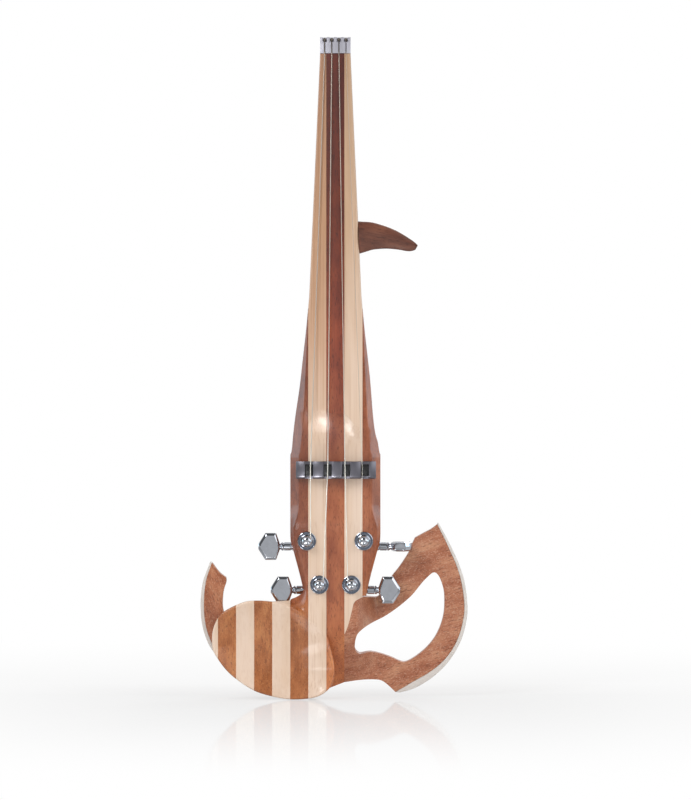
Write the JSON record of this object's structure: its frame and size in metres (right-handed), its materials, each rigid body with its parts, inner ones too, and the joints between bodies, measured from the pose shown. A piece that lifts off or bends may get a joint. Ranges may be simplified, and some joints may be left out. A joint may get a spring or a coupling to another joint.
{
  "type": "electric violin",
  "caption": "Solid electric violin with a laminated through neck, chin dish, crescent wing, bridge with four saddles and four worm-gear tuners below it.",
  "frame": {"origin": "on the flat back face of the centre lamella, 45 mm above the lowest point of the body, where a shoulder rest seats", "axes": "+Z along the neck towards the nut, +Y out of the flat back, +X towards the treble side with the crescent wing; the strings face -Y"},
  "size_m": [0.2123, 0.0584, 0.5217],
  "materials": {
    "mahogany": "clear gloss lacquer over red-brown mahogany",
    "maple": "clear gloss lacquer over pale maple",
    "pale_band": "polished off-white edge band",
    "headpiece_alloy": "satin anodised",
    "bridge_metal": "dark grey satin",
    "black_plastic": "matt black",
    "tuner_chrome": "polished chrome plate",
    "screw_steel": "turned steel",
    "string_metal": "flat-wound metal string",
    "battery_case": "plain battery case",
    "circuit_board": "green solder mask",
    "lead_sleeve": "black sleeve"
  },
  "bodies": {
    "instrument": {"core_centre_mahogany": "mahogany", "core_maple_bass": "maple", "core_maple_treble": "maple", "flank_bass": "mahogany", "flank_treble": "mahogany", "dish_maple_inner": "maple", "dish_mahogany_inner": "mahogany", "dish_maple_middle": "maple", "dish_mahogany_outer": "mahogany", "dish_maple_outer": "maple", "wing_treble": "mahogany", "arm_bass": "mahogany", "edge_band_treble": "pale_band", "edge_band_bass": "pale_band", "hand_stop": "mahogany", "hand_stop_dowel": "maple", "headpiece": "headpiece_alloy", "bridge": "bridge_metal", "saddle_g": "black_plastic", "saddle_d": "black_plastic", "saddle_a": "black_plastic", "saddle_e": "black_plastic", "bridge_screw_bass": "screw_steel", "bridge_screw_treble": "screw_steel", "tuner_housing_bass_upper": "tuner_chrome", "tuner_bushing_bass_upper": "tuner_chrome", "tuner_housing_treble_upper": "tuner_chrome", "tuner_bushing_treble_upper": "tuner_chrome", "tuner_housing_bass_lower": "tuner_chrome", "tuner_bushing_bass_lower": "tuner_chrome", "tuner_housing_treble_lower": "tuner_chrome", "tuner_bushing_treble_lower": "tuner_chrome", "string_g": "string_metal", "string_d": "string_metal", "string_a": "string_metal", "string_e": "string_metal", "electronics_cover": "black_plastic", "cover_screw_lower": "screw_steel", "cover_screw_upper": "screw_steel", "battery": "battery_case", "preamp_board": "circuit_board", "output_jack": "screw_steel", "jack_lead": "lead_sleeve"},
    "key_bass_upper": {"tuner_worm_bass_upper": "screw_steel", "tuner_button_bass_upper": "tuner_chrome"},
    "post_bass_upper": {"tuner_post_bass_upper": "tuner_chrome", "string_winding_g": "string_metal"},
    "key_treble_upper": {"tuner_worm_treble_upper": "screw_steel", "tuner_button_treble_upper": "tuner_chrome"},
    "post_treble_upper": {"tuner_post_treble_upper": "tuner_chrome", "string_winding_e": "string_metal"},
    "key_bass_lower": {"tuner_worm_bass_lower": "screw_steel", "tuner_button_bass_lower": "tuner_chrome"},
    "post_bass_lower": {"tuner_post_bass_lower": "tuner_chrome", "string_winding_d": "string_metal"},
    "key_treble_lower": {"tuner_worm_treble_lower": "screw_steel", "tuner_button_treble_lower": "tuner_chrome"},
    "post_treble_lower": {"tuner_post_treble_lower": "tuner_chrome", "string_winding_a": "string_metal"}
  },
  "joints": [
    {"name": "key_bass_upper_turn", "type": "hinge", "parent": "instrument", "child": "key_bass_upper", "pos_m": [-0.0224, -0.027, 0.0753], "axis": [1, 0, 0], "continuous": true},
    {"name": "post_bass_upper_turn", "type": "hinge", "parent": "instrument", "child": "post_bass_upper", "pos_m": [-0.0224, -0.027, 0.0801], "axis": [0, 1, 0], "continuous": true},
    {"name": "key_treble_upper_turn", "type": "hinge", "parent": "instrument", "child": "key_treble_upper", "pos_m": [0.0224, -0.027, 0.0753], "axis": [1, 0, 0], "continuous": true},
    {"name": "post_treble_upper_turn", "type": "hinge", "parent": "instrument", "child": "post_treble_upper", "pos_m": [0.0224, -0.027, 0.0801], "axis": [0, 1, 0], "continuous": true},
    {"name": "key_bass_lower_turn", "type": "hinge", "parent": "instrument", "child": "key_bass_lower", "pos_m": [-0.0126, -0.027, 0.0408], "axis": [1, 0, 0], "continuous": true},
    {"name": "post_bass_lower_turn", "type": "hinge", "parent": "instrument", "child": "post_bass_lower", "pos_m": [-0.0126, -0.027, 0.0456], "axis": [0, 1, 0], "continuous": true},
    {"name": "key_treble_lower_turn", "type": "hinge", "parent": "instrument", "child": "key_treble_lower", "pos_m": [0.0126, -0.027, 0.0408], "axis": [1, 0, 0], "continuous": true},
    {"name": "post_treble_lower_turn", "type": "hinge", "parent": "instrument", "child": "post_treble_lower", "pos_m": [0.0126, -0.027, 0.0456], "axis": [0, 1, 0], "continuous": true}
  ],
  "couplings": [
    {"joint": "post_bass_upper_turn", "follows": "key_bass_upper_turn", "ratio": 0.066667},
    {"joint": "post_treble_upper_turn", "follows": "key_treble_upper_turn", "ratio": 0.066667},
    {"joint": "post_bass_lower_turn", "follows": "key_bass_lower_turn", "ratio": 0.066667},
    {"joint": "post_treble_lower_turn", "follows": "key_treble_lower_turn", "ratio": 0.066667}
  ]
}
